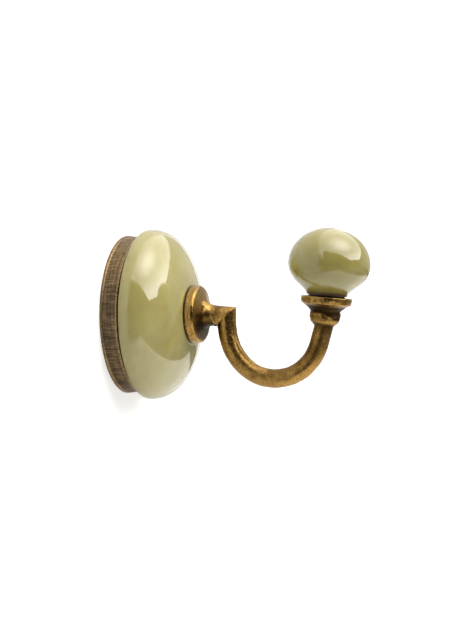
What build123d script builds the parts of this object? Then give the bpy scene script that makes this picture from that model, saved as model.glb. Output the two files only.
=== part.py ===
"""Ceramic and brass wall hook: a domed rose on a turned back plate, a J-shaped arm and a ball knob.

Frame: millimetres, +Z up, +Y into the wall, -Y out into the room.  The origin is the centre of the
back plate's wall face.  "Out" below is the distance from the wall, so a point that far out has y = -out.
The cast hook droops a few degrees, so it has a plane of its own: x along the neck, y up the knob.
"""
from build123d import *
import os
from math import cos, radians, sin, tan

os.makedirs("parts", exist_ok=True)

# ---- back plate: a turned brass pan with a worn bead at each rim ----
plate_radius = 32.9
rear_bead_radius = 33.25
rear_bead_width = 1.5
front_bead_radius = 33.65
front_bead_width = 1.0
plate_depth = 8.2
plate_floor = 3.0
plate_bore_radius = 29.0
bead_rounding = 0.4
boss_radius = 9.0
boss_depth = 6.5

# ---- wall screw holes, hidden under the rose ----
screw_spacing = 40.0
screw_hole_radius = 2.25
screw_head_radius = 4.5
screw_head_angle = 90

# ---- stud that everything is clamped on (M5) ----
stud_radius = 2.5
stud_rear_out = 0.6
stud_tip_out = 37.5
stud_chamfer = 0.5
lock_washer_radius = 4.6
lock_washer_bore = 2.6
lock_washer_thickness = 1.2
lock_nut_across_flats = 8.0
lock_nut_thickness = 4.0

# ---- gasket between plate and rose ----
gasket_outer_radius = 32.7
gasket_inner_radius = 29.6
gasket_thickness = 0.4

# ---- rose: the hollow glazed dome ----
seat_gap = 0.1
rose_foot_radius = 33.0
rose_foot_inner = 29.0
rose_widest_radius = 35.8
rose_widest_out = 11.5
rose_crown_radius = 12.9
rose_crown_out = 29.0
rose_side_pull = 7.5
rose_crown_pull = 16.3
rose_crown_slope = 0.22
rose_wall = 4.6
rose_hole_radius = 4.0

# ---- black fibre washer under the hook's collar ----
collar_washer_radius = 12.1
collar_washer_bore = 3.4
collar_washer_thickness = 0.4

# ---- collar and neck of the hook ----
collar_rear_out = rose_crown_out + collar_washer_thickness + seat_gap
collar_rear_radius = 12.3
collar_front_radius = 11.9
collar_rim_depth = 3.6
collar_rim_rounding = 0.9
collar_face_radius = 6.4
collar_face_rise = 2.0
collar_root_out = 38.2
neck_radius = 4.4
neck_length = 11.2
droop = 5.0
tapped_radius = 2.55
tapped_end_out = 38.6

# ---- J-shaped arm: a round bar, mitred and brazed to the neck ----
arm_radius = 3.95
arm_lean = 5.5
arm_drop = 2.7
arm_first_radius = 25.2
arm_first_turn = 37.0
arm_second_radius = 19.8
arm_second_turn = 127.0
arm_end_run = 8.0

# ---- knob seat: a filed bead and a flange, turned in one piece ----
knob_reach = 53.5
seat_top = 11.84
flange_radius = 10.6
flange_waist_radius = 10.15
flange_edge_depth = 2.9
flange_rounding = 0.45
cove_turn_radius = 7.4
cove_turn_depth = 4.1
cove_end_depth = 6.2
bead_radius = 6.3
bead_lower_radius = 5.8
bead_shoulder_depth = 8.6
bead_lower_depth = 10.3
seat_base_radius = 4.3
seat_depth = 11.8
seat_socket_depth = 7.5

# ---- stud for the knob (M4) ----
knob_stud_radius = 2.0
knob_stud_height = 9.0
knob_stud_chamfer = 0.4

# ---- washer and knob ----
knob_washer_radius = 7.5
knob_washer_bore = 2.2
knob_washer_thickness = 0.4
knob_foot_radius = 8.35
knob_foot_rounding = 0.35
knob_foot_pull = 0.6
knob_radius = 17.0
knob_widest_height = 13.42
knob_upper_height = 15.15
knob_lower_height = 12.4
knob_belly_angle = -44
knob_hollow_pull = 2.2
insert_radius = 5.0
insert_length = 12.0
insert_bore = 2.05
knob_socket_depth = 13.5

# ---- places worked out from the sizes above ----
gasket_front_out = plate_depth + gasket_thickness
rose_foot_out = gasket_front_out + seat_gap
pivot_out = collar_rear_out + collar_rim_depth
neck_direction = Vector(0, -cos(radians(droop)), -sin(radians(droop)))
knob_direction = Vector(0, -sin(radians(droop)), cos(radians(droop)))
hook_plane = Plane(origin=(0, -pivot_out, 0), x_dir=neck_direction, z_dir=(-1, 0, 0))
seat_centre = hook_plane.from_local_coords(Vector(knob_reach, seat_top, 0))
knob_axis = Axis(seat_centre, knob_direction)
mitre_centre = hook_plane.from_local_coords(Vector(neck_length, 0, 0))
mitre_reach = (arm_radius - neck_radius * sin(radians(arm_lean))) / cos(radians(arm_lean))
mitre_line = neck_direction * mitre_reach + knob_direction * neck_radius
mitre_plane = Plane(origin=mitre_centre, x_dir=(1, 0, 0), z_dir=Vector(1, 0, 0).cross(mitre_line))
washer_base = seat_gap
knob_base = washer_base + knob_washer_thickness + seat_gap


def out_plane(out):
    """Plane at a distance from the wall, facing out into the room."""
    return Plane(origin=(0, -out, 0), x_dir=(1, 0, 0), z_dir=(0, -1, 0))


def knob_plane(height):
    """Plane across the knob's axis, at a height above the flange."""
    return Plane(origin=seat_centre + knob_direction * height, x_dir=(1, 0, 0), z_dir=knob_direction)


def arm_start(distance):
    """Point on the arm's first straight line, at a distance below the mitre's centre."""
    return (neck_length + distance * sin(radians(arm_lean)), -distance * cos(radians(arm_lean)))


def elliptical_bezier(centre_height, x_radius, y_radius, start, end):
    """One cubic curve along an ellipse centred on the profile's axis, from one angle to another."""
    pull = 4 / 3 * tan(radians(end - start) / 4)
    points = []
    for angle, sign in ((radians(start), pull), (radians(end), -pull)):
        on_curve = Vector(x_radius * cos(angle), centre_height + y_radius * sin(angle))
        tangent = Vector(-x_radius * sin(angle), y_radius * cos(angle))
        points.append((on_curve, on_curve + tangent * sign))
    (first, first_pull), (last, last_pull) = points
    return Bezier(first, first_pull, last_pull, last)


# Turned pieces: x is the radius and y the place along the axis, which is -out for the wall pieces
# and the height above the flange for the knob's pieces.
knob_profile_plane = Plane(origin=seat_centre, x_dir=(1, 0, 0), z_dir=Vector(1, 0, 0).cross(knob_direction))


# ======================= wall side =======================

with BuildPart() as back_plate:
    with BuildSketch(Plane.XY):
        with BuildLine():
            Polyline(
                (0, 0),
                (rear_bead_radius, 0),
                (rear_bead_radius, -rear_bead_width),
                (plate_radius, -rear_bead_width),
                (plate_radius, front_bead_width - plate_depth),
                (front_bead_radius, front_bead_width - plate_depth),
                (front_bead_radius, -plate_depth),
                (plate_bore_radius, -plate_depth),
                (plate_bore_radius, -plate_floor),
                (boss_radius, -plate_floor),
                (boss_radius, -boss_depth),
                (0, -boss_depth),
                close=True,
            )
        make_face()
    revolve(axis=Axis.Y)
    rims = back_plate.edges().filter_by(GeomType.CIRCLE)
    fillet(rims.filter_by(lambda edge: edge.radius > plate_radius + bead_rounding / 2), bead_rounding / 2)
    fillet(rims.filter_by(lambda edge: abs(edge.radius - plate_bore_radius) < bead_rounding), bead_rounding)
    with Locations(out_plane(boss_depth)):
        Hole(radius=stud_radius)
    with Locations(out_plane(plate_floor)):
        with GridLocations(screw_spacing, screw_spacing, 1, 2):
            CounterSinkHole(screw_hole_radius, screw_head_radius, counter_sink_angle=screw_head_angle)
back_plate.part.label = "back_plate"
export_step(back_plate.part, "parts/back_plate.step")

with BuildPart() as mounting_stud:
    with BuildSketch(out_plane(stud_rear_out)):
        Circle(stud_radius)
    extrude(amount=stud_tip_out - stud_rear_out)
    chamfer(mounting_stud.edges().filter_by(GeomType.CIRCLE).sort_by(Axis.Y)[0], stud_chamfer)
mounting_stud.part.label = "mounting_stud"
export_step(mounting_stud.part, "parts/mounting_stud.step")

with BuildPart() as stud_lock_washer:
    with BuildSketch(out_plane(boss_depth)):
        Circle(lock_washer_radius)
        Circle(lock_washer_bore, mode=Mode.SUBTRACT)
    extrude(amount=lock_washer_thickness)
stud_lock_washer.part.label = "stud_lock_washer"
export_step(stud_lock_washer.part, "parts/stud_lock_washer.step")

with BuildPart() as stud_lock_nut:
    with BuildSketch(out_plane(boss_depth + lock_washer_thickness)):
        RegularPolygon(radius=lock_nut_across_flats / 2, side_count=6, major_radius=False)
        Circle(stud_radius, mode=Mode.SUBTRACT)
    extrude(amount=lock_nut_thickness)
    chamfer(stud_lock_nut.faces().sort_by(Axis.Y)[0].outer_wire().edges(), stud_chamfer / 2)
stud_lock_nut.part.label = "stud_lock_nut"
export_step(stud_lock_nut.part, "parts/stud_lock_nut.step")

with BuildPart() as rose_gasket:
    with BuildSketch(out_plane(plate_depth)):
        Circle(gasket_outer_radius)
        Circle(gasket_inner_radius, mode=Mode.SUBTRACT)
    extrude(amount=gasket_thickness)
rose_gasket.part.label = "rose_gasket"
export_step(rose_gasket.part, "parts/rose_gasket.step")

# ======================= rose and its washer =======================

inner_widest_radius = rose_widest_radius - rose_wall
inner_crown_out = rose_crown_out - rose_wall
crown_run = rose_crown_radius + rose_crown_pull
crown_drop = rose_crown_pull * rose_crown_slope

with BuildPart() as rose:
    with BuildSketch(Plane.XY):
        with BuildLine():
            Line((rose_foot_inner, -rose_foot_out), (rose_foot_radius, -rose_foot_out))
            Bezier(
                (rose_foot_radius, -rose_foot_out),
                (rose_widest_radius, -rose_foot_out),
                (rose_widest_radius, -rose_widest_out),
            )
            Bezier(
                (rose_widest_radius, -rose_widest_out),
                (rose_widest_radius, -rose_widest_out - rose_side_pull),
                (crown_run, crown_drop - rose_crown_out),
                (rose_crown_radius, -rose_crown_out),
            )
            Polyline(
                (rose_crown_radius, -rose_crown_out),
                (rose_hole_radius, -rose_crown_out),
                (rose_hole_radius, -inner_crown_out),
                (rose_crown_radius, -inner_crown_out),
            )
            Bezier(
                (rose_crown_radius, -inner_crown_out),
                (crown_run - rose_wall, crown_drop - inner_crown_out),
                (inner_widest_radius, -rose_widest_out - rose_side_pull),
                (inner_widest_radius, -rose_widest_out),
            )
            Line((inner_widest_radius, -rose_widest_out), (rose_foot_inner, -rose_foot_out))
        make_face()
    revolve(axis=Axis.Y)
rose.part.label = "rose"
export_step(rose.part, "parts/rose.step")

with BuildPart() as collar_washer:
    with BuildSketch(out_plane(rose_crown_out)):
        Circle(collar_washer_radius)
        Circle(collar_washer_bore, mode=Mode.SUBTRACT)
    extrude(amount=collar_washer_thickness)
collar_washer.part.label = "collar_washer"
export_step(collar_washer.part, "parts/collar_washer.step")

# ======================= hook casting =======================

with BuildPart() as hook_collar:
    # neck: a round bar along the drooping line, cut off on the mitre
    with BuildSketch(Plane(origin=(0, -pivot_out, 0), x_dir=(1, 0, 0), z_dir=neck_direction)):
        Circle(neck_radius)
    extrude(amount=neck_length + 2 * neck_radius)
    split(bisect_by=mitre_plane, keep=Keep.BOTTOM)
    # collar: a thick flared disc whose face coves into the neck
    with BuildSketch(Plane.XY):
        with BuildLine():
            Polyline(
                (0, -collar_root_out),
                (0, -collar_rear_out),
                (collar_rear_radius, -collar_rear_out),
                (collar_front_radius, -pivot_out),
                (collar_face_radius, -pivot_out - collar_face_rise),
            )
            Bezier(
                (collar_face_radius, -pivot_out - collar_face_rise),
                (neck_radius, -pivot_out - 1.4 * collar_face_rise),
                (neck_radius, -collar_root_out),
            )
            Line((neck_radius, -collar_root_out), (0, -collar_root_out))
        make_face()
    revolve(axis=Axis.Y)
    rims = hook_collar.edges().filter_by(GeomType.CIRCLE)
    fillet(rims.filter_by(lambda edge: edge.radius > collar_face_radius + neck_radius), collar_rim_rounding)
    with BuildSketch(out_plane(collar_rear_out)):
        Circle(tapped_radius)
    extrude(amount=tapped_end_out - collar_rear_out, mode=Mode.SUBTRACT)
hook_collar.part.label = "hook_collar"
export_step(hook_collar.part, "parts/hook_collar.step")

with BuildPart() as knob_seat:
    with BuildSketch(knob_profile_plane):
        with BuildLine():
            Polyline(
                (0, 0),
                (flange_radius, 0),
                (flange_radius, -flange_edge_depth / 2),
                (flange_waist_radius, -flange_edge_depth),
            )
            Bezier(
                (flange_waist_radius, -flange_edge_depth),
                (cove_turn_radius, -cove_turn_depth),
                (bead_radius, -cove_end_depth),
            )
            Polyline(
                (bead_radius, -cove_end_depth),
                (bead_radius, -bead_shoulder_depth),
                (bead_lower_radius, -bead_lower_depth),
                (seat_base_radius, -seat_depth),
                (0, -seat_depth),
                (0, 0),
            )
        make_face()
    revolve(axis=knob_axis)
    rims = knob_seat.edges().filter_by(GeomType.CIRCLE)
    fillet(rims.filter_by(lambda edge: edge.radius > flange_radius - flange_rounding / 4), flange_rounding)
    with BuildSketch(knob_plane(0)):
        Circle(knob_stud_radius)
    extrude(amount=-seat_socket_depth, mode=Mode.SUBTRACT)
knob_seat.part.label = "knob_seat"
export_step(knob_seat.part, "parts/knob_seat.step")

with BuildPart() as hook_arm:
    with BuildLine(hook_plane) as arm_path:
        drop = Line(arm_start(-2 * neck_radius), arm_start(arm_drop))
        upper_bend = JernArc(drop @ 1, drop % 1, arm_first_radius, arm_first_turn)
        lower_bend = JernArc(upper_bend @ 1, upper_bend % 1, arm_second_radius, arm_second_turn)
        Line(lower_bend @ 1, (lower_bend @ 1) + (lower_bend % 1) * arm_end_run)
    with BuildSketch(Plane(origin=arm_path.line @ 0, x_dir=(1, 0, 0), z_dir=arm_path.line % 0)):
        Circle(arm_radius)
    sweep()
    split(bisect_by=mitre_plane, keep=Keep.TOP)
    # the arm stops at the underside of the seat, which it is brazed to
    add(knob_seat.part, mode=Mode.SUBTRACT)
hook_arm.part.label = "hook_arm"
export_step(hook_arm.part, "parts/hook_arm.step")

with BuildPart() as knob_stud:
    with BuildSketch(knob_plane(-seat_socket_depth)):
        Circle(knob_stud_radius)
    extrude(amount=seat_socket_depth + knob_stud_height)
    chamfer(knob_stud.edges().filter_by(GeomType.CIRCLE).sort_by(knob_axis)[-1], knob_stud_chamfer)
knob_stud.part.label = "knob_stud"
export_step(knob_stud.part, "parts/knob_stud.step")

# ======================= knob and its washer =======================

with BuildPart() as knob_washer:
    with BuildSketch(knob_plane(washer_base)):
        Circle(knob_washer_radius)
        Circle(knob_washer_bore, mode=Mode.SUBTRACT)
    extrude(amount=knob_washer_thickness)
knob_washer.part.label = "knob_washer"
export_step(knob_washer.part, "parts/knob_washer.step")

with BuildPart() as knob:
    with BuildSketch(knob_profile_plane):
        with BuildLine():
            crown = elliptical_bezier(knob_widest_height, knob_radius, knob_upper_height, 0, 90)
            belly = elliptical_bezier(knob_widest_height, knob_radius, knob_lower_height, knob_belly_angle, 0)
            socket = Polyline(
                crown @ 1,
                (0, knob_base + knob_socket_depth),
                (insert_radius, knob_base + knob_socket_depth),
                (insert_radius, knob_base),
                (knob_foot_radius - knob_foot_rounding, knob_base),
            )
            edge = TangentArc(socket @ 1, (knob_foot_radius, knob_base + knob_foot_rounding), tangent=(1, 0))
            # the belly hollows in above the foot
            Bezier(
                edge @ 1,
                (edge @ 1) + Vector(0, knob_foot_pull),
                (belly @ 0) - (belly % 0) * knob_hollow_pull,
                belly @ 0,
            )
        make_face()
    revolve(axis=knob_axis)
knob.part.label = "knob"
export_step(knob.part, "parts/knob.step")

with BuildPart() as knob_insert:
    with BuildSketch(knob_plane(knob_base)):
        Circle(insert_radius)
        Circle(insert_bore, mode=Mode.SUBTRACT)
    extrude(amount=insert_length)
knob_insert.part.label = "knob_insert"
export_step(knob_insert.part, "parts/knob_insert.step")
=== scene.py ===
"""Looks of the ceramic and brass wall hook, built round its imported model.

Sizes below are in millimetres, as a maker would write them; meshes are made in metres.
+Z is up, +Y goes into the wall and -Y comes out into the room.  "Out" is a distance from the wall.
"""
import math

import bmesh
import bpy
import numpy as np
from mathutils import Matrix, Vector, noise


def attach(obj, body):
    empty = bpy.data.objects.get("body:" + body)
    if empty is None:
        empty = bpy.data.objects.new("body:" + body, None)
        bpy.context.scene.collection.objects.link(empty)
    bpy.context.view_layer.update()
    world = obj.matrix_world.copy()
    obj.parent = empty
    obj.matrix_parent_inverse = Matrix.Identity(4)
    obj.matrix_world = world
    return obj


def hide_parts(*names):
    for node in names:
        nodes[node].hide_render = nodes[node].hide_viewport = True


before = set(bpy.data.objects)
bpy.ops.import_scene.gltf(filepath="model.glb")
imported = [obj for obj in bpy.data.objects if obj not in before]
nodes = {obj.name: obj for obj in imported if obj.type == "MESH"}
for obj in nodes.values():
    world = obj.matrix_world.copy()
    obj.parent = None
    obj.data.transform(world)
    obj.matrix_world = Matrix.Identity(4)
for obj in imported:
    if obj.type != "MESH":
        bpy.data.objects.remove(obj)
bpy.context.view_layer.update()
MM = 0.001

# ======================= directions the pieces are made along =======================

SIDE = np.array((1.0, 0.0, 0.0))
WALL_OUT = np.array((0.0, -1.0, 0.0))
UP = np.array((0.0, 0.0, 1.0))
DROOP = math.radians(5.0)
NECK_ALONG = np.array((0.0, -math.cos(DROOP), -math.sin(DROOP)))
KNOB_UP = np.array((0.0, -math.sin(DROOP), math.cos(DROOP)))
PIVOT = WALL_OUT * 33.1
SEAT_TOP = PIVOT + NECK_ALONG * 53.5 + KNOB_UP * 11.84

# ======================= sizes that more than one piece is made to =======================

PLATE_DEPTH = 8.2
SCREW_HOLE_HEIGHT = 20.0
ROSE_FOOT_OUT = 8.7
ROSE_WIDEST_OUT = 11.5
ROSE_CROWN_OUT = 29.0
SEAT_DEPTH = 11.8
BEAD_MIDDLE = 9.0
KNOB_FOOT = 0.6


# ======================= making meshes =======================

def soften(corners, steps=4):
    """Turns (radius, height, rounding) corners into a profile whose corners are rounded off."""
    profile = []
    for index, corner in enumerate(corners):
        point = np.array(corner[:2], float)
        rounding = corner[2] if len(corner) > 2 else 0
        if not rounding or index in (0, len(corners) - 1):
            profile.append(point)
            continue
        before = np.array(corners[index - 1][:2], float) - point
        after = np.array(corners[index + 1][:2], float) - point
        start = point + before / np.linalg.norm(before) * rounding
        end = point + after / np.linalg.norm(after) * rounding
        profile.extend(bend(start, point, end, steps=steps))
    return profile


def bend(*points, steps=12):
    """Points along the Bezier curve that these points pull."""
    points = [np.array(point, float) for point in points]
    line = []
    for step in range(steps + 1):
        level = points
        share = step / steps
        while len(level) > 1:
            level = [a * (1 - share) + b * share for a, b in zip(level, level[1:])]
        line.append(level[0])
    return line


def fill_in(profile, spacing):
    """Adds points so that no two neighbours on a profile are further apart than the spacing."""
    filled = [profile[0]]
    for point in profile[1:]:
        gap = np.linalg.norm(point - filled[-1])
        if gap < 1e-6:
            continue
        start = filled[-1]
        pieces = max(1, math.ceil(gap / spacing))
        filled.extend(start + (point - start) * share / pieces for share in range(1, pieces + 1))
    return filled


def ring(centre, across, upward, radius, segments):
    turn = np.arange(segments) * (2 * math.pi / segments)
    return centre + radius * (np.outer(np.cos(turn), across) + np.outer(np.sin(turn), upward))


def skin(name, rings, body, closed=False):
    """A mesh over a row of rings in millimetres: closed on itself, or with each end drawn to a point."""
    segments = len(rings[0])
    points = np.concatenate(rings)
    faces = []
    pairs = [(row, row + 1) for row in range(len(rings) - 1)]
    if closed:
        pairs.append((len(rings) - 1, 0))
    for row, following in pairs:
        for step in range(segments):
            after = (step + 1) % segments
            faces.append((row * segments + step, row * segments + after,
                          following * segments + after, following * segments + step))
    if not closed:
        ends = np.array([rings[0].mean(0), rings[-1].mean(0)])
        first, last = len(points), len(points) + 1
        points = np.concatenate([points, ends])
        base = (len(rings) - 1) * segments
        for step in range(segments):
            after = (step + 1) % segments
            faces.append((first, after, step))
            faces.append((last, base + step, base + after))
    mesh = bpy.data.meshes.new(name)
    mesh.from_pydata((points * MM).tolist(), [], faces)
    mesh.validate()
    piece = bpy.data.objects.new(name, mesh)
    bpy.context.scene.collection.objects.link(piece)
    mesh.update()
    face_outwards(mesh)
    mesh.shade_smooth()
    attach(piece, body)
    return piece


def face_outwards(mesh):
    """Turns every face of a closed mesh so that its front is on the outside."""
    work = bmesh.new()
    work.from_mesh(mesh)
    bmesh.ops.recalc_face_normals(work, faces=work.faces)
    work.to_mesh(mesh)
    work.free()
    mesh.update()


def turned(name, profile, body, origin=None, along=WALL_OUT, segments=128, closed=True):
    """A lathe-turned piece: its profile gives (radius, distance along the axis)."""
    origin = np.zeros(3) if origin is None else origin
    upward = np.cross(along, SIDE)
    rings = [ring(origin + along * height, SIDE, upward, max(radius, 1e-4), segments)
             for radius, height in profile]
    return skin(name, rings, body, closed)


def work_surface(piece, depth, size, shift=0.0):
    """Moves a surface in and out by a few hundredths, as hand work and casting leave it."""
    mesh = piece.data
    moved = []
    for vertex in mesh.vertices:
        spot = vertex.co / (size * MM) + Vector((shift, shift * 0.7, -shift))
        lift = noise.noise(spot) + 0.5 * noise.noise(spot * 2.3)
        moved.append(vertex.co + vertex.normal * (lift * depth * MM))
    for vertex, place in zip(mesh.vertices, moved):
        vertex.co = place
    mesh.update()


def sink_pit(piece, spot, width, depth):
    """A small casting pit, centred on a spot in millimetres."""
    centre = Vector(spot) * MM
    for vertex in piece.data.vertices:
        share = (vertex.co - centre).length / (width * MM)
        if share < 1:
            vertex.co -= vertex.normal * (depth * MM * (1 - share * share) ** 2)
    piece.data.update()


def file_flat(piece, centre, facing, reach, zone=None):
    """Files a flat: whatever stands further out than the reach, in that direction, is taken off."""
    centre, facing = Vector(centre) * MM, Vector(facing).normalized()
    for vertex in piece.data.vertices:
        out = vertex.co - centre
        if zone and abs(out.dot(Vector(KNOB_UP))) > zone * MM:
            continue
        over = out.dot(facing) - reach * MM
        if over > 0:
            vertex.co -= facing * (over * 0.92)
    piece.data.update()


def mark_wear_and_painted_light(piece, reach, creases=(), more_rub_and_highlight=None, more_grime_and_shade=None, hollows=1.0):
    """Stores where hands have worn the piece (its ridges) and where grime has stayed (its hollows), with painted
    highlights and painted shade added in.
    Creases are (place, width) spots of grime; the last two give more of either, for places in millimetres: more
    wear with painted highlights and sheen, and more grime with painted shade."""
    mesh = piece.data
    count = len(mesh.vertices)
    start = np.zeros(count * 3)
    mesh.vertices.foreach_get("co", start)
    start = start.reshape(-1, 3)
    normals = np.zeros(count * 3)
    mesh.vertices.foreach_get("normal", normals)
    normals = normals.reshape(-1, 3)
    edges = np.zeros(len(mesh.edges) * 2, int)
    mesh.edges.foreach_get("vertices", edges)
    edges = edges.reshape(-1, 2)
    spacing = np.median(np.linalg.norm(start[edges[:, 0]] - start[edges[:, 1]], axis=1))
    neighbours = np.bincount(edges.ravel(), minlength=count)[:, None].clip(1)
    smooth = start.copy()
    for _ in range(int(min(90, max(4, 2.5 * (reach * MM / spacing) ** 2)))):
        total = np.zeros_like(smooth)
        for axis in range(3):
            total[:, axis] = (np.bincount(edges[:, 0], smooth[edges[:, 1], axis], count)
                              + np.bincount(edges[:, 1], smooth[edges[:, 0], axis], count))
        smooth += 0.6 * (total / neighbours - smooth)
    hollow = ((smooth - start) * normals).sum(1) / MM
    rubbed = (-hollow / (0.16 * reach)).clip(0, 1)
    grime_and_shade = hollows * (hollow / (0.10 * reach)).clip(0, 1)
    for spot, width in creases:
        near = np.linalg.norm(start / MM - np.array(spot), axis=1) / width
        grime_and_shade = np.maximum(grime_and_shade, (1.25 - near).clip(0, 1))
        rubbed *= near.clip(0, 1)
    # Extra darkening given by the caller, which includes painted shade.
    if more_grime_and_shade:
        grime_and_shade = np.maximum(grime_and_shade, more_grime_and_shade(start / MM).clip(0, 1))
        rubbed *= 1 - 0.8 * grime_and_shade
    # Extra lightening given by the caller, which includes painted highlights and a painted sheen.
    if more_rub_and_highlight:
        rubbed = np.maximum(rubbed, more_rub_and_highlight(start / MM).clip(0, 1))
    # The two stored layers carry painted highlights and painted shade as well as wear and grime.
    for label, values in (("rubbed", rubbed), ("grime_and_shade", grime_and_shade)):
        layer = mesh.attributes.new(label, "FLOAT", "POINT")
        layer.data.foreach_set("value", values.astype(np.float32))


# ======================= shader building =======================

class Tree:
    """Places nodes in one node tree and wires them together."""

    def __init__(self, tree):
        self.tree = tree

    def add(self, kind, settings=None, **inputs):
        node = self.tree.nodes.new(kind)
        for label, value in (settings or {}).items():
            setattr(node, label, value)
        for label, value in inputs.items():
            socket = node.inputs[int(label[1:])] if label[0] == "i" and label[1:].isdigit() \
                else node.inputs[label.replace("_", " ")]
            self.feed(socket, value)
        return node

    def feed(self, socket, value):
        if isinstance(value, bpy.types.NodeSocket):
            self.tree.links.new(value, socket)
        else:
            socket.default_value = value

    def maths(self, operation, first, second=0.0, clamp=False):
        node = self.add("ShaderNodeMath", {"operation": operation, "use_clamp": clamp}, i0=first, i1=second)
        return node.outputs[0]

    def spread(self, value, low, high, new_low=0.0, new_high=1.0):
        node = self.add("ShaderNodeMapRange", {"interpolation_type": "SMOOTHSTEP"}, Value=value)
        for label, level in (("From Min", low), ("From Max", high), ("To Min", new_low), ("To Max", new_high)):
            self.feed(node.inputs[label], level)
        return node.outputs["Result"]

    def mix(self, share, first, second):
        node = self.add("ShaderNodeMix", {"data_type": "RGBA"})
        self.feed(node.inputs[0], share)
        self.feed(node.inputs[6], first)
        self.feed(node.inputs[7], second)
        return node.outputs[2]

    def mottle(self, place, size, detail=3.0, roughness=0.55, distortion=0.0):
        """Noise whose blotches are about so many millimetres across."""
        node = self.add("ShaderNodeTexNoise", None, Vector=place, Detail=detail, Roughness=roughness,
                        Distortion=distortion)
        if isinstance(size, (int, float)):
            node.inputs["Scale"].default_value = 1 / (size * MM)
        else:
            self.feed(node.inputs["Scale"], self.maths("DIVIDE", 1 / MM, size))
        return node.outputs["Fac"]

    def stretched(self, place, scale):
        node = self.add("ShaderNodeMapping", None, Vector=place, Scale=scale)
        return node.outputs[0]

    def place(self):
        return self.add("ShaderNodeTexCoord").outputs["Object"]

    def layer(self, label):
        return self.add("ShaderNodeAttribute", {"attribute_name": label}).outputs["Fac"]


def new_group(name, inputs, outputs):
    group = bpy.data.node_groups.new(name, "ShaderNodeTree")
    for label, kind, value in inputs:
        socket = group.interface.new_socket(name=label, in_out="INPUT", socket_type="NodeSocket" + kind)
        socket.default_value = value
    for label, kind in outputs:
        group.interface.new_socket(name=label, in_out="OUTPUT", socket_type="NodeSocket" + kind)
    tree = Tree(group)
    return group, tree, tree.add("NodeGroupInput"), tree.add("NodeGroupOutput")


def make_patina_group():
    """Old brass colour: gold where it is worn and where highlights are painted, brown between, nearly black in
    the hollows and where shade is painted.
    """
    # Edge Wear and Grime Amount also scale the painted highlights and painted shade that the two layers carry.
    group, tree, given, result = new_group(
        "brass patina",
        [("Rubbed Gold", "Color", (0.4, 0.27, 0.11, 1)), ("Brown", "Color", (0.2, 0.125, 0.048, 1)),
         ("Grime", "Color", (0.03, 0.02, 0.009, 1)), ("Blotch Size", "Float", 3.0),
         ("Edge Wear", "Float", 0.7), ("Grime Amount", "Float", 0.8), ("Speckle", "Float", 0.5)],
        [("Color", "Color"), ("Wear_And_Highlight", "Float"), ("Dirt_And_Shade", "Float")])
    place = tree.place()
    broad = tree.mottle(place, given.outputs["Blotch Size"], 4.0, 0.6, 0.6)
    fine = tree.mottle(place, 0.7, 4.0, 0.7)
    specks = tree.mottle(place, 0.5, 3.0, 0.75)
    # The first layer holds wear and painted highlights, both shown in gold.
    edge = tree.maths("MULTIPLY", tree.layer("rubbed"), given.outputs["Edge Wear"])
    edge = tree.maths("MULTIPLY", edge, tree.spread(fine, 0.3, 0.62, 0.55, 1.0))
    patch = tree.maths("MULTIPLY", tree.spread(broad, 0.42, 0.66, 0.0, 0.7),
                       tree.spread(fine, 0.36, 0.56, 0.25, 1.0))
    worn = tree.maths("MAXIMUM", edge, patch, True)
    # The second layer holds grime and painted shade, both shown dark.
    dirt_and_shade = tree.maths("MULTIPLY", tree.layer("grime_and_shade"), given.outputs["Grime Amount"])
    dirt_and_shade = tree.maths("MULTIPLY", dirt_and_shade, tree.spread(fine, 0.25, 0.6, 1.0, 0.7))
    speckle = tree.maths("MULTIPLY", tree.spread(specks, 0.50, 0.60), given.outputs["Speckle"])
    blotch = tree.spread(broad, 0.46, 0.3, 0.0, 0.55)
    dirt_and_shade = tree.maths("MAXIMUM", dirt_and_shade, tree.maths("MAXIMUM", speckle, blotch), True)
    dirt_and_shade = tree.maths("MULTIPLY", dirt_and_shade, tree.maths("SUBTRACT", 1.0, tree.maths("MULTIPLY", edge, 0.7)), True)
    colour = tree.mix(worn, given.outputs["Brown"], given.outputs["Rubbed Gold"])
    colour = tree.mix(dirt_and_shade, colour, given.outputs["Grime"])
    tree.feed(result.inputs["Color"], colour)
    tree.feed(result.inputs["Wear_And_Highlight"], worn)
    tree.feed(result.inputs["Dirt_And_Shade"], dirt_and_shade)
    return group


def make_grain_group():
    """Heights of a cast and filed surface: soft lumps, fine grain and small pits."""
    group, tree, given, result = new_group(
        "cast grain",
        [("Lump Size", "Float", 2.2), ("Grain Size", "Float", 0.35), ("Pits", "Float", 0.5)],
        [("Height", "Float")])
    place = tree.place()
    lumps = tree.mottle(place, given.outputs["Lump Size"], 2.0, 0.5)
    grain = tree.mottle(place, given.outputs["Grain Size"], 3.0, 0.6)
    holes = tree.spread(tree.mottle(place, 0.9, 1.0, 0.5), 0.36, 0.27)
    height = tree.maths("ADD", tree.maths("MULTIPLY", lumps, 0.6), tree.maths("MULTIPLY", grain, 0.35))
    height = tree.maths("SUBTRACT", height, tree.maths("MULTIPLY", holes, given.outputs["Pits"]))
    tree.feed(result.inputs["Height"], height)
    return group


def make_lathe_group():
    """Fine lines left by turning and by brushing: rings round the axis and short strokes along it."""
    group, tree, given, result = new_group(
        "lathe and brush lines",
        [("Ring Width", "Float", 0.3), ("Stroke Width", "Float", 0.3)],
        [("Rings", "Float"), ("Strokes", "Float")])
    place = tree.place()
    rings = tree.stretched(place, (0.03, 1.0, 0.03))
    strokes = tree.stretched(place, (1.0, 0.07, 1.0))
    tree.feed(result.inputs["Rings"], tree.mottle(rings, given.outputs["Ring Width"], 3.0, 0.6))
    tree.feed(result.inputs["Strokes"], tree.mottle(strokes, given.outputs["Stroke Width"], 4.0, 0.7))
    return group


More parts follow.
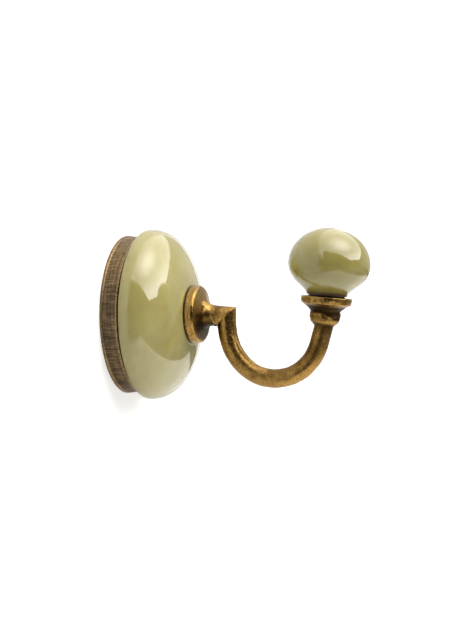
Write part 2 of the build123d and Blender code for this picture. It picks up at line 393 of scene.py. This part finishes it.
def make_glaze_group():
    """Glaze colour that pools and thins a little, and the low swell of its poured surface."""
    group, tree, given, result = new_group(
        "pooled glaze",
        [("Glaze", "Color", (0.4, 0.37, 0.15, 1)), ("Thin Glaze", "Color", (0.46, 0.42, 0.2, 1)),
         ("Pool Size", "Float", 9.0), ("Speckle", "Float", 0.3)],
        [("Color", "Color"), ("Height", "Float")])
    place = tree.place()
    pools = tree.mottle(place, given.outputs["Pool Size"], 3.0, 0.55, 0.4)
    grains = tree.mottle(place, 0.5, 2.0, 0.7)
    colour = tree.mix(tree.spread(pools, 0.32, 0.68), given.outputs["Glaze"], given.outputs["Thin Glaze"])
    share = tree.maths("MULTIPLY", tree.spread(grains, 0.56, 0.72), given.outputs["Speckle"])
    colour = tree.mix(share, colour, (0.30, 0.26, 0.09, 1))
    swell = tree.mottle(place, 7.0, 1.0, 0.4)
    tree.feed(result.inputs["Color"], colour)
    tree.feed(result.inputs["Height"], swell)
    return group


patina_group = make_patina_group()
grain_group = make_grain_group()
lathe_group = make_lathe_group()
glaze_group = make_glaze_group()


def new_material(name):
    material = bpy.data.materials.new(name)
    material.use_nodes = True
    tree = Tree(material.node_tree)
    shader = material.node_tree.nodes["Principled BSDF"]
    return material, tree, shader


def use(tree, group, **inputs):
    return tree.add("ShaderNodeGroup", {"node_tree": group}, **inputs)


def raise_surface(tree, shader, height, distance, strength=1.0):
    bump = tree.add("ShaderNodeBump", None, Strength=strength, Distance=distance * MM, Height=height)
    tree.feed(shader.inputs["Normal"], bump.outputs[0])


def make_aged_brass():
    """Cast brass of the hook, worn gold on its ridges and dark in its hollows; its pieces' painted highlights
    show gold and their painted shade dark.
    """
    material, tree, shader = new_material("aged cast brass")
    # The gold also shows painted highlights, and the grime colour painted shade.
    patina = use(tree, patina_group, Rubbed_Gold=(0.515, 0.312, 0.09, 1), Brown=(0.155, 0.082, 0.019, 1),
                 Grime=(0.020, 0.012, 0.004, 1), Blotch_Size=4.5, Edge_Wear=0.85, Grime_Amount=1.3,
                 Speckle=0.85)
    grain = use(tree, grain_group, Lump_Size=2.4, Grain_Size=0.6, Pits=0.6)
    tree.feed(shader.inputs["Base Color"], patina.outputs["Color"])
    shader.inputs["Metallic"].default_value = 1.0
    rough = tree.spread(patina.outputs["Wear_And_Highlight"], 0, 1, 0.29, 0.20)
    rough = tree.maths("ADD", rough, tree.maths("MULTIPLY", patina.outputs["Dirt_And_Shade"], 0.22))
    tree.feed(shader.inputs["Roughness"], rough)
    raise_surface(tree, shader, grain.outputs["Height"], 0.14, 0.8)
    return material


def make_plate_brass():
    """Dark turned brass of the plate, with lines from the lathe and from brushing."""
    material, tree, shader = new_material("dark turned brass")
    # The gold here also shows the painted sheen on the upper and lower side of the plate.
    patina = use(tree, patina_group, Rubbed_Gold=(0.46, 0.31, 0.15, 1), Brown=(0.12, 0.092, 0.06, 1),
                 Grime=(0.05, 0.037, 0.024, 1), Blotch_Size=16.0, Edge_Wear=1.0, Grime_Amount=0.8, Speckle=0.3)
    lines = use(tree, lathe_group, Ring_Width=0.42, Stroke_Width=0.46)
    strokes = tree.spread(lines.outputs["Strokes"], 0.42, 0.60)
    rings = tree.spread(lines.outputs["Rings"], 0.44, 0.60)
    streaks = tree.maths("ADD", tree.maths("MULTIPLY", strokes, 0.65), tree.maths("MULTIPLY", rings, 0.35))
    colour = tree.mix(tree.spread(streaks, 0.55, 1.0, 0.0, 0.7), patina.outputs["Color"], (0.34, 0.235, 0.125, 1))
    dark = tree.spread(streaks, 0.45, 0.05, 0.0, 0.7)
    colour = tree.mix(dark, colour, (0.035, 0.026, 0.017, 1))
    tree.feed(shader.inputs["Base Color"], colour)
    shader.inputs["Metallic"].default_value = 1.0
    tree.feed(shader.inputs["Roughness"], tree.spread(streaks, 0, 1, 0.42, 0.29))
    raise_surface(tree, shader, streaks, 0.05, 0.6)
    return material


def make_glaze(name, glaze_colour, thin_colour):
    """Glossy pooled glaze over a body that is bare at its foot."""
    material, tree, shader = new_material(name)
    glaze = use(tree, glaze_group, Glaze=glaze_colour, Thin_Glaze=thin_colour, Pool_Size=13.0, Speckle=0.25)
    bare = tree.layer("bare")
    colour = tree.mix(bare, glaze.outputs["Color"], (0.11, 0.06, 0.025, 1))
    tree.feed(shader.inputs["Base Color"], colour)
    tree.feed(shader.inputs["Roughness"], tree.spread(bare, 0, 1, 0.07, 0.6))
    shader.inputs["IOR"].default_value = 1.56
    shader.inputs["Coat Weight"].default_value = 0.75
    shader.inputs["Coat Roughness"].default_value = 0.02
    raise_surface(tree, shader, glaze.outputs["Height"], 0.06, 0.5)
    return material


def make_plain_brass():
    """Bright machined brass of the threaded insert."""
    material, tree, shader = new_material("machined brass")
    lines = use(tree, lathe_group, Ring_Width=0.18, Stroke_Width=0.4)
    colour = tree.mix(tree.spread(lines.outputs["Rings"], 0.35, 0.7), (0.40, 0.28, 0.10, 1),
                      (0.62, 0.46, 0.19, 1))
    tree.feed(shader.inputs["Base Color"], colour)
    shader.inputs["Metallic"].default_value = 1.0
    tree.feed(shader.inputs["Roughness"], tree.spread(lines.outputs["Strokes"], 0.3, 0.7, 0.22, 0.36))
    raise_surface(tree, shader, lines.outputs["Rings"], 0.02, 0.5)
    return material


def make_zinc_steel():
    """Zinc plating with a faint spangle and a few stains, for the studs and the nut."""
    material, tree, shader = new_material("zinc plated steel")
    place = tree.place()
    spangle = tree.mottle(place, 2.5, 3.0, 0.6)
    stain = tree.mottle(place, 0.7, 3.0, 0.6)
    colour = tree.mix(tree.spread(spangle, 0.35, 0.65), (0.42, 0.42, 0.40, 1), (0.60, 0.60, 0.58, 1))
    colour = tree.mix(tree.spread(stain, 0.58, 0.72, 0.0, 0.5), colour, (0.26, 0.23, 0.17, 1))
    tree.feed(shader.inputs["Base Color"], colour)
    shader.inputs["Metallic"].default_value = 1.0
    tree.feed(shader.inputs["Roughness"], tree.spread(stain, 0.3, 0.7, 0.24, 0.42))
    raise_surface(tree, shader, stain, 0.015, 0.5)
    return material


def make_black(name, colour, paler, roughness, size):
    """Black rubber or pressed fibre with a little dust."""
    material, tree, shader = new_material(name)
    place = tree.place()
    fibres = tree.mottle(place, size, 4.0, 0.7)
    dust = tree.mottle(place, 3.0, 3.0, 0.6)
    shade = tree.mix(tree.spread(fibres, 0.4, 0.7), colour, paler)
    shade = tree.mix(tree.spread(dust, 0.55, 0.8, 0.0, 0.3), shade, (0.10, 0.09, 0.08, 1))
    tree.feed(shader.inputs["Base Color"], shade)
    tree.feed(shader.inputs["Roughness"], tree.spread(fibres, 0.3, 0.7, roughness, roughness + 0.15))
    raise_surface(tree, shader, fibres, 0.03, 0.6)
    return material


aged_brass = make_aged_brass()
plate_brass = make_plate_brass()
rose_glaze = make_glaze("sage green glaze", (0.365, 0.318, 0.108, 1), (0.425, 0.378, 0.142, 1))
knob_glaze = make_glaze("deeper sage glaze", (0.285, 0.243, 0.066, 1), (0.335, 0.292, 0.09, 1))
plain_brass = make_plain_brass()
zinc_steel = make_zinc_steel()
black_rubber = make_black("black rubber", (0.012, 0.012, 0.012, 1), (0.03, 0.03, 0.03, 1), 0.6, 0.4)
black_fibre = make_black("black fibre", (0.016, 0.012, 0.009, 1), (0.045, 0.036, 0.028, 1), 0.55, 0.25)


def finish_piece(piece, material, slot, *replaced):
    """Gives a finished piece its material and hides the nodes that it stands for; the slot is not used."""
    piece.data.materials.clear()
    piece.data.materials.append(material)
    if replaced:
        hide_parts(*replaced)


def dress(name, material):
    """Gives a node that stays as it is its finish."""
    mesh = nodes[name].data
    mesh.materials.clear()
    mesh.materials.append(material)


# ======================= wall side =======================

def make_back_plate():
    """Turned pan with a worn bead at each rim, a boss for the stud and two countersunk holes."""
    corners = [
        (2.5, 0.0), (33.25, 0.0, 0.35), (33.25, 1.5, 0.4), (32.9, 1.62, 0.1), (32.9, 7.1, 0.1),
        (33.65, 7.22, 0.3), (33.65, PLATE_DEPTH, 0.35), (29.0, PLATE_DEPTH, 0.4), (29.0, 3.0, 0.8),
        (9.0, 3.0, 0.5), (9.0, 6.5, 0.3), (2.5, 6.5, 0.1), (2.5, 0.0),
    ]
    profile = fill_in(soften(corners), 0.7)[:-1]
    plate = turned("plate_turned", profile, "plate", segments=224)
    work_surface(plate, 0.035, 4.0, 3.0)
    for height in (SCREW_HOLE_HEIGHT, -SCREW_HOLE_HEIGHT):
        sink_screw_hole(plate, height)

    # Worn gold on the rims' beads, and a painted sheen: the outer side of the plate is painted lighter towards
    # its top and its bottom.
    def bead_wear_and_painted_sheen(places):
        radius = np.hypot(places[:, 0], places[:, 2])
        beads = (radius - 32.95) / 0.2 * (places[:, 1] > -PLATE_DEPTH - 0.1)
        top = 0.8 * ((places[:, 2] - 8.0) / 14.0).clip(0, 1)
        bottom = 0.5 * ((-places[:, 2] - 10.0) / 12.0).clip(0, 1)
        return np.maximum(beads, np.maximum(top, bottom) * (radius > 32.0))

    mark_wear_and_painted_light(plate, 0.8, more_rub_and_highlight=bead_wear_and_painted_sheen)
    finish_piece(plate, plate_brass, "dark_brass", "back_plate")


def sink_screw_hole(plate, height):
    """Bores a 4.5 mm hole, countersunk to 9 mm, through the plate's floor."""
    profile = [(0.0, -1.0), (2.25, -1.0), (2.25, 0.75), (4.5, 3.0), (4.5, 4.0), (0.0, 4.0)]
    profile = [np.array(point) for point in profile]
    drill = turned("drill", profile, "plate", origin=UP * height, segments=48, closed=False)
    cut = plate.modifiers.new("hole", "BOOLEAN")
    cut.operation = "DIFFERENCE"
    cut.solver = "EXACT"
    cut.object = drill
    bpy.context.view_layer.update()
    bored = bpy.data.meshes.new_from_object(plate.evaluated_get(bpy.context.evaluated_depsgraph_get()))
    plate.modifiers.remove(cut)
    plate.data = bored
    bpy.data.objects.remove(drill)


def threaded_rod(name, body, origin, along, radius, length, pitch, slot, node, flat_end=0.6):
    """A screw-cut rod: its thread is a real groove that runs round it."""
    segments = 40
    rows_a_turn = 6
    depth = 0.54 * pitch
    rows = int(length / (pitch / rows_a_turn))
    turn = np.arange(segments) / segments
    upward = np.cross(along, SIDE)
    directions = np.outer(np.cos(turn * 2 * math.pi), SIDE) + np.outer(np.sin(turn * 2 * math.pi), upward)
    rings = []
    for row in range(rows + 1):
        height = length * row / rows
        phase = (height / pitch - turn) % 1.0
        groove = np.abs(phase - 0.5) * 2
        edge = min(height, length - height)
        taper = max(0.0, flat_end - edge) * 0.9
        radii = np.minimum(radius - depth * (1 - groove) * 0.92, radius - taper)
        rings.append(origin + along * height + directions * radii[:, None])
    rod = skin(name, rings, body)
    finish_piece(rod, zinc_steel, slot, node)


def make_rose():
    """Hollow glazed dome, thick-walled, open at the back."""
    foot_edge = np.array((29.0, ROSE_FOOT_OUT))
    widest = (35.8, ROSE_WIDEST_OUT)
    outer = [foot_edge] + bend((33.0, ROSE_FOOT_OUT), (35.8, ROSE_FOOT_OUT), widest, steps=10)
    outer += bend(widest, (35.8, 19.0), (29.2, 25.414), (12.9, ROSE_CROWN_OUT), steps=44)[1:]
    crown = soften([(12.9, ROSE_CROWN_OUT), (4.0, ROSE_CROWN_OUT, 0.6), (4.0, 24.4, 0.3), (12.9, 24.4)])
    inner = bend((12.9, 24.4), (24.6, 20.814), (31.2, 19.0), (31.2, ROSE_WIDEST_OUT), steps=30)[1:]
    profile = fill_in(outer + crown[1:] + inner + [foot_edge], 1.2)[:-1]
    rose = turned("rose_glazed", profile, "rose", segments=256)
    work_surface(rose, 0.05, 14.0, 1.0)
    mark_bare(rose, np.zeros(3), WALL_OUT, ROSE_FOOT_OUT, ROSE_FOOT_OUT + 0.45)
    finish_piece(rose, rose_glaze, "green_glaze", "rose")


def mark_bare(piece, origin, along, foot, top):
    """Unglazed body shows in a thin line where the piece stood on its foot."""
    mesh = piece.data
    values = []
    for vertex in mesh.vertices:
        place = np.array(vertex.co) / MM
        height = float(np.dot(place - origin, along)) + 0.12 * noise.noise(Vector(place) * 0.4)
        values.append(min(1.0, max(0.0, (top - height) / max(1e-6, (top - foot) * 0.5))))
    layer = mesh.attributes.new("bare", "FLOAT", "POINT")
    layer.data.foreach_set("value", values)


# ======================= hook =======================

MITRE_CENTRE = PIVOT + NECK_ALONG * 11.2
ARM_LEAN = math.radians(5.5)
ARM_RADIUS = 3.95
NECK_RADIUS = 4.4
ARM_DOWN = NECK_ALONG * math.sin(ARM_LEAN) - KNOB_UP * math.cos(ARM_LEAN)
MITRE_REACH = (ARM_RADIUS - NECK_RADIUS * math.sin(ARM_LEAN)) / math.cos(ARM_LEAN)
MITRE_FACING = np.cross(SIDE, NECK_ALONG * MITRE_REACH + KNOB_UP * NECK_RADIUS)


def onto_mitre(points, along):
    """Slides points along a direction until they lie on the mitre between neck and arm."""
    gap = (MITRE_CENTRE - points) @ MITRE_FACING / float(along @ MITRE_FACING)
    return points + np.outer(gap, along)


def make_collar():
    """Flared disc whose face coves into the drooping neck, tapped for the stud from behind."""
    segments = 128
    turned_part = fill_in(soften([
        (0.0, 38.6), (2.55, 38.6), (2.55, 29.5, 0.2), (12.3, 29.5, 0.7), (11.95, 33.1, 0.8), (6.6, 35.0),
    ]), 0.45)
    rings = [ring(WALL_OUT * out, SIDE, UP, max(radius, 1e-3), segments) for radius, out in turned_part]
    cove = fill_in(bend((6.6, 1.9), (4.5, 2.8), (4.35, 5.6), steps=14), 0.45)
    droop_length = 4.5
    for radius, distance in cove[1:]:
        share = min(1.0, distance / droop_length)
        tilt = DROOP * share * share * (3 - 2 * share)
        upward = np.array((0.0, -math.sin(tilt), math.cos(tilt)))
        centre = PIVOT + NECK_ALONG * distance * share + WALL_OUT * distance * (1 - share)
        rings.append(ring(centre, SIDE, upward, radius, segments))
    last = ring(PIVOT + NECK_ALONG * 5.6, SIDE, KNOB_UP, 4.35, segments)
    end = ring(PIVOT + NECK_ALONG * 5.6, SIDE * 0.93, KNOB_UP, NECK_RADIUS, segments)
    end = onto_mitre(end, NECK_ALONG)
    for share in np.linspace(0, 1, 15)[1:]:
        rings.append(last * (1 - share) + end * share)
    collar = skin("collar_and_neck", rings, "hook")
    work_surface(collar, 0.10, 3.5, 5.0)
    work_surface(collar, 0.035, 1.1, 9.0)
    underneath = PIVOT + NECK_ALONG * 6.6 - KNOB_UP * 4.3 - SIDE * 1.2
    sink_pit(collar, underneath, 1.5, 0.55)
    sink_pit(collar, underneath + NECK_ALONG * 1.9 + SIDE * 0.9, 1.1, 0.4)

    # Painted shade: the lower part of the collar's face and cove, under the neck, is painted dark.
    def painted_cove_shade(places):
        out = -places[:, 1]
        below = (0.5 - places[:, 2] - 0.25 * np.abs(places[:, 0])) / 3.0
        return 0.9 * below.clip(0, 1) * ((out - 33.2) / 0.6).clip(0, 1) * (out < 39.0)

    # Painted highlight: the upper part of the collar's face and the root of the neck are painted gold.
    def painted_upper_highlight(places):
        out = -places[:, 1]
        above = ((places[:, 2] + 0.6) / 2.4).clip(0, 1)
        return 0.95 * above * ((out - 33.0) / 0.5).clip(0, 1) * ((41.0 - out) / 1.5).clip(0, 1)

    mark_wear_and_painted_light(collar, 1.6, [(MITRE_CENTRE - KNOB_UP * 4.6 - NECK_ALONG * 3.6, 2.6)], more_rub_and_highlight=painted_upper_highlight,
              more_grime_and_shade=painted_cove_shade, hollows=0.15)
    finish_piece(collar, aged_brass, "aged_brass", "hook_collar")


def arm_line():
    """Centre line of the arm: straight, two bends in one plane, straight.  Gives (place, heading)."""
    line = []
    place = MITRE_CENTRE + ARM_DOWN * 2.7
    angle = -math.pi / 2 + ARM_LEAN
    bends = ((25.2, math.radians(37.0)), (19.8, math.radians(127.0)))
    end_depth = -11.0

    def heading(value):
        return NECK_ALONG * math.cos(value) + KNOB_UP * math.sin(value)

    line.append((place, heading(angle)))
    for radius, sweep in bends:
        steps = math.ceil(radius * sweep / 0.45)
        left = NECK_ALONG * -math.sin(angle) + KNOB_UP * math.cos(angle)
        centre = place + left * radius
        start = angle
        for step in range(1, steps + 1):
            angle = start + sweep * step / steps
            place = centre + radius * (NECK_ALONG * math.sin(angle) - KNOB_UP * math.cos(angle))
            line.append((place, heading(angle)))
    along = heading(angle)
    height = float((place - SEAT_TOP) @ KNOB_UP)
    run = max(1.0, end_depth - height)
    for step in range(1, 19):
        line.append((place + along * run * step / 18, along))
    return line


def make_arm():
    """Round bar bent to a J, mitred to the neck at its top and brazed under the seat."""
    segments = 96
    line = arm_line()
    first_place, first_heading = line[0]
    upward = np.cross(SIDE, first_heading)
    top = onto_mitre(ring(MITRE_CENTRE, SIDE * 1.03, upward, ARM_RADIUS, segments), first_heading)
    start = ring(first_place, SIDE, upward, ARM_RADIUS, segments)
    below = start + first_heading * 1.5
    rings = [top * (1 - share) + below * share for share in np.linspace(0, 1, 14)]
    for place, heading in line[5:]:
        rings.append(ring(place, SIDE, np.cross(SIDE, heading), ARM_RADIUS, segments))
    arm = skin("arm_bent", rings, "hook")
    work_surface(arm, 0.11, 5.0, 2.0)
    work_surface(arm, 0.035, 1.2, 7.0)
    sink_pit(arm, line[30][0] - SIDE * 3.4 - np.cross(SIDE, line[30][1]) * 1.4, 0.8, 0.25)
    sink_pit(arm, line[38][0] - SIDE * 3.5 - np.cross(SIDE, line[38][1]) * 0.5, 0.6, 0.2)
    end = line[-1][0]
    rising = line[-26][0] - SIDE * ARM_RADIUS

    # A patch on the side of the rising limb is made darker.
    def darker_rising_patch(places):
        return 0.5 * np.exp(-(np.linalg.norm(places - rising, axis=1) / 6.0) ** 2)

    mark_wear_and_painted_light(arm, 1.8, [(end, 6.2), (MITRE_CENTRE - KNOB_UP * 4.8 - NECK_ALONG * 3.9, 2.8)],
              more_grime_and_shade=darker_rising_patch)
    finish_piece(arm, aged_brass, "aged_brass", "hook_arm")


def make_seat():
    """Flange and bead that the knob stands on, turned roughly and finished with a file."""
    corners = [
        (0.0, -7.5), (2.0, -7.5), (2.0, 0.0, 0.1), (10.6, 0.0, 0.45), (10.6, -1.5, 0.5),
        (10.15, -2.9, 0.5),
    ]
    profile = fill_in(soften(corners), 0.35)
    profile = profile[:-1] + bend((10.15, -2.9), (7.4, -4.1), (6.1, -6.1), steps=12)
    profile += soften([(6.1, -6.1), (6.45, -7.0, 0.7), (6.3, -8.6, 0.8), (5.8, -10.3, 0.7),
                       (4.3, -SEAT_DEPTH)])[1:]
    profile = fill_in(profile + [np.array((0.05, -SEAT_DEPTH))], 0.35)
    seat = turned("seat_filed", profile, "hook", origin=SEAT_TOP, along=KNOB_UP, segments=128, closed=False)
    bead = SEAT_TOP - KNOB_UP * BEAD_MIDDLE
    file_flat(seat, bead, -SIDE * 0.66 + WALL_OUT * 0.62 + KNOB_UP * 0.42, 5.55, 3.4)
    file_flat(seat, bead, -SIDE * 0.72 + WALL_OUT * 0.30 - KNOB_UP * 0.62, 5.35, 3.4)
    file_flat(seat, bead, SIDE * 0.8 + WALL_OUT * 0.3 + KNOB_UP * 0.45, 5.6, 3.4)
    file_flat(seat, bead, -WALL_OUT * 0.8 + SIDE * 0.35 - KNOB_UP * 0.5, 5.4, 3.4)
    work_surface(seat, 0.14, 2.2, 4.0)
    work_surface(seat, 0.07, 0.9, 8.0)

    # Darker band under the flange, reaching lower on the side away from the wall, and darker at the seat's foot.
    def recess(places):
        height = (places - SEAT_TOP) @ KNOB_UP
        radius = np.linalg.norm(places - SEAT_TOP - np.outer(height, KNOB_UP), axis=1)
        lower_end = 7.3 + 0.45 * ((places - SEAT_TOP) @ NECK_ALONG).clip(0, 6)
        upper = ((-3.7 - height) / 0.5).clip(0, 1) * ((lower_end + height) / 0.8).clip(0, 1) * (radius < 8.6)
        return np.maximum(upper, ((-10.6 - height) / 1.2).clip(0, 1))

    mark_wear_and_painted_light(seat, 0.8, more_grime_and_shade=recess)
    finish_piece(seat, aged_brass, "aged_brass", "knob_seat")


# ======================= knob =======================

def make_knob():
    """Squat glazed ball on a narrow waisted foot, socketed for its brass insert."""
    radius, widest_height, upper_height, lower_height = 17.0, 13.42, 15.15, 12.4
    upper = [math.radians(90 - 90 * step / 40) for step in range(41)]
    crown = [np.array((radius * math.cos(turn), widest_height + upper_height * math.sin(turn))) for turn in upper]
    lower = [math.radians(-44 * step / 24) for step in range(1, 25)]
    belly = [np.array((radius * math.cos(turn), widest_height + lower_height * math.sin(turn))) for turn in lower]
    last = belly[-1]
    heading = last - belly[-2]
    heading /= np.linalg.norm(heading)
    foot = bend(last, last + heading * 2.2, (8.35, 1.55), (8.35, 0.95), steps=12)[1:]
    sole = soften([(8.35, 0.95), (8.35, KNOB_FOOT, 0.25), (5.0, KNOB_FOOT, 0.1), (5.0, 14.1), (0.0, 14.1)])[1:]
    profile = fill_in(crown + belly + foot + sole, 1.0)
    knob = turned("knob_glazed", profile, "knob", origin=SEAT_TOP, along=KNOB_UP, segments=192, closed=False)
    work_surface(knob, 0.04, 9.0, 6.0)
    mark_bare(knob, SEAT_TOP, KNOB_UP, KNOB_FOOT, KNOB_FOOT + 1.5)
    finish_piece(knob, knob_glaze, "green_glaze", "knob")


make_back_plate()
threaded_rod("stud_threaded", "plate", WALL_OUT * 0.6, WALL_OUT, 2.5, 36.9, 0.8, "zinc_steel", "mounting_stud")
make_rose()
make_collar()
make_arm()
make_seat()
threaded_rod("knob_stud_threaded", "hook", SEAT_TOP - KNOB_UP * 7.5, KNOB_UP, 2.0, 16.5, 0.7, "zinc_steel",
             "knob_stud")
make_knob()
for name, material in (("stud_lock_washer", zinc_steel), ("stud_lock_nut", zinc_steel),
                       ("rose_gasket", black_rubber), ("collar_washer", black_fibre),
                       ("knob_washer", black_fibre), ("knob_insert", plain_brass)):
    dress(name, material)


# ======================= studio =======================

def stage_sheet(name, corners, material):
    """A flat sheet of the studio, given by its four corners in metres."""
    mesh = bpy.data.meshes.new(name)
    mesh.from_pydata([tuple(corner) for corner in corners], [], [(0, 1, 2, 3)])
    mesh.materials.append(material)
    sheet = bpy.data.objects.new(name, mesh)
    bpy.context.scene.collection.objects.link(sheet)
    return sheet


def make_stage_paint(name, colour, shown, shown_glow, limits):
    """Matt paint seen from one side only; past its limits it reflects little light."""
    material, tree, shader = new_material(name)
    low, high = limits
    place = tree.add("ShaderNodeSeparateXYZ", None, Vector=tree.place())
    inside = None
    for axis in range(3):
        if low[axis] is None:
            continue
        above = tree.maths("GREATER_THAN", place.outputs[axis], low[axis])
        below = tree.maths("LESS_THAN", place.outputs[axis], high[axis])
        both = tree.maths("MULTIPLY", above, below)
        inside = both if inside is None else tree.maths("MULTIPLY", inside, both)
    watched = tree.add("ShaderNodeLightPath").outputs["Is Camera Ray"]
    shade = tree.mix(inside, (0.16, 0.16, 0.155, 1), colour)
    tree.feed(shader.inputs["Base Color"], tree.mix(watched, shade, shown))
    shader.inputs["Roughness"].default_value = 0.9
    shader.inputs["Specular IOR Level"].default_value = 0.1
    clear = tree.add("ShaderNodeBsdfTransparent")
    back = tree.add("ShaderNodeNewGeometry").outputs["Backfacing"]
    shine = tree.mix(watched, (0, 0, 0, 1), (shown_glow, shown_glow, shown_glow, 1))
    tree.feed(shader.inputs["Emission Color"], shine)
    shader.inputs["Emission Strength"].default_value = 1.0
    choose = tree.add("ShaderNodeMixShader", None, i0=back, i1=shader.outputs[0], i2=clear.outputs[0])
    output = [node for node in material.node_tree.nodes if node.type == "OUTPUT_MATERIAL"][0]
    tree.feed(output.inputs["Surface"], choose.outputs[0])
    return material


def make_panel_light(name, colour, strength, far_strength, core, core_place, core_size):
    """Soft light seen from one side: even, fading along its length, with a brighter core round one place."""
    material = bpy.data.materials.new(name)
    material.use_nodes = True
    material.node_tree.nodes.clear()
    tree = Tree(material.node_tree)
    far = tree.add("ShaderNodeVectorMath", {"operation": "DISTANCE"}, i0=tree.place(), i1=core_place)
    glow = tree.spread(far.outputs["Value"], core_size, 0.0, 0.0, core)
    forward = tree.add("ShaderNodeSeparateXYZ", None, Vector=tree.place()).outputs["Y"]
    glow = tree.maths("ADD", glow, tree.spread(forward, -2.6, -0.5, far_strength, strength))
    lamp = tree.add("ShaderNodeEmission", None, Color=colour, Strength=glow)
    clear = tree.add("ShaderNodeBsdfTransparent")
    back = tree.add("ShaderNodeNewGeometry").outputs["Backfacing"]
    choose = tree.add("ShaderNodeMixShader", None, i0=back, i1=lamp.outputs[0], i2=clear.outputs[0])
    output = tree.add("ShaderNodeOutputMaterial")
    tree.feed(output.inputs["Surface"], choose.outputs[0])
    return material


WALL_FACE = -0.0004
GLOW_FACE = -0.0006
FLOOR_HEIGHT = -0.36
PANEL_HEIGHT = 0.9
GLOW_TOP = 1.2


def upright(low_x, high_x, face, low_z, high_z):
    """Corners of an upright sheet that looks out from the wall."""
    return [(low_x, face, low_z), (high_x, face, low_z), (high_x, face, high_z), (low_x, face, high_z)]


def make_studio():
    """Pale wall and floor, a long soft panel overhead, and glows beside and above the hook."""
    wall_paint = make_stage_paint("white wall", (0.70, 0.70, 0.69, 1), (0.74, 0.74, 0.74, 1), 0.5,
                                  ((-0.37, None, None), (3.0, None, None)))
    stage_sheet("studio_wall", upright(-3, 3, WALL_FACE, FLOOR_HEIGHT, 2.5), wall_paint)
    floor_paint = make_stage_paint("pale floor", (0.80, 0.79, 0.76, 1), (0.34, 0.34, 0.335, 1), 0.5,
                                   ((-0.54, -0.62, None), (1.7, 1.0, None)))
    stage_sheet("studio_floor", [(-3, -4, FLOOR_HEIGHT), (3, -4, FLOOR_HEIGHT), (3, 2, FLOOR_HEIGHT),
                                 (-3, 2, FLOOR_HEIGHT)], floor_paint)
    panel = make_panel_light("soft overhead panel", (1.0, 0.985, 0.96, 1), 1.9, 4.9, 3.6,
                             (-0.12, -0.64, PANEL_HEIGHT), 0.7)
    stage_sheet("studio_panel", [(-0.9, -0.02, PANEL_HEIGHT), (1.25, -0.02, PANEL_HEIGHT),
                                 (1.25, -3.9, PANEL_HEIGHT), (-0.9, -3.9, PANEL_HEIGHT)], panel)
    glows = (("studio_side_glow", "side glow", 1.5, (0.4, 3), FLOOR_HEIGHT),
             ("studio_upper_glow", "upper wall glow", 1.7, (-1.3, 0.4), 0.3))
    for name, light_name, strength, (low_x, high_x), low_z in glows:
        light = make_panel_light(light_name, (1.0, 1.0, 1.0, 1), strength, strength, 0.0, (0.0, 0.0, 0.0), 0.1)
        sheet = stage_sheet(name, upright(low_x, high_x, GLOW_FACE, low_z, GLOW_TOP), light)
        sheet.visible_camera = False
    world = bpy.data.worlds.new("studio room")
    bpy.context.scene.world = world
    world.use_nodes = True
    tree = Tree(world.node_tree)
    background = world.node_tree.nodes["Background"]
    watched = tree.add("ShaderNodeLightPath").outputs["Is Camera Ray"]
    heading = tree.add("ShaderNodeSeparateXYZ", None, Vector=tree.add("ShaderNodeTexCoord").outputs["Generated"])
    room = tree.mix(tree.spread(heading.outputs["X"], -0.2, 1.0), (0.05, 0.05, 0.05, 1), (0.6, 0.6, 0.58, 1))
    room = tree.mix(tree.spread(heading.outputs["Y"], 0.0, 0.3), room, (0.75, 0.75, 0.74, 1))
    tree.feed(background.inputs["Color"], tree.mix(watched, room, (0.93, 0.93, 0.93, 1)))
    background.inputs["Strength"].default_value = 1.0


def make_camera():
    """Level camera, well round to the side, framed on the hook."""
    data = bpy.data.cameras.new("view")
    camera = bpy.data.objects.new("view", data)
    bpy.context.scene.collection.objects.link(camera)
    turn = math.radians(-71.6)
    distance = 0.875
    target = Vector((0.0, -0.0478, 0.00035))
    towards = Vector((math.sin(turn), -math.cos(turn), 0.0))
    camera.location = target + towards * distance
    camera.rotation_euler = (-towards).to_track_quat("-Z", "Y").to_euler()
    data.sensor_width = 36.0
    data.lens = 2100 * 36.0 / 627
    data.clip_start = 0.01
    bpy.context.scene.camera = camera


make_studio()
make_camera()
bpy.context.scene.view_settings.view_transform = "Standard"
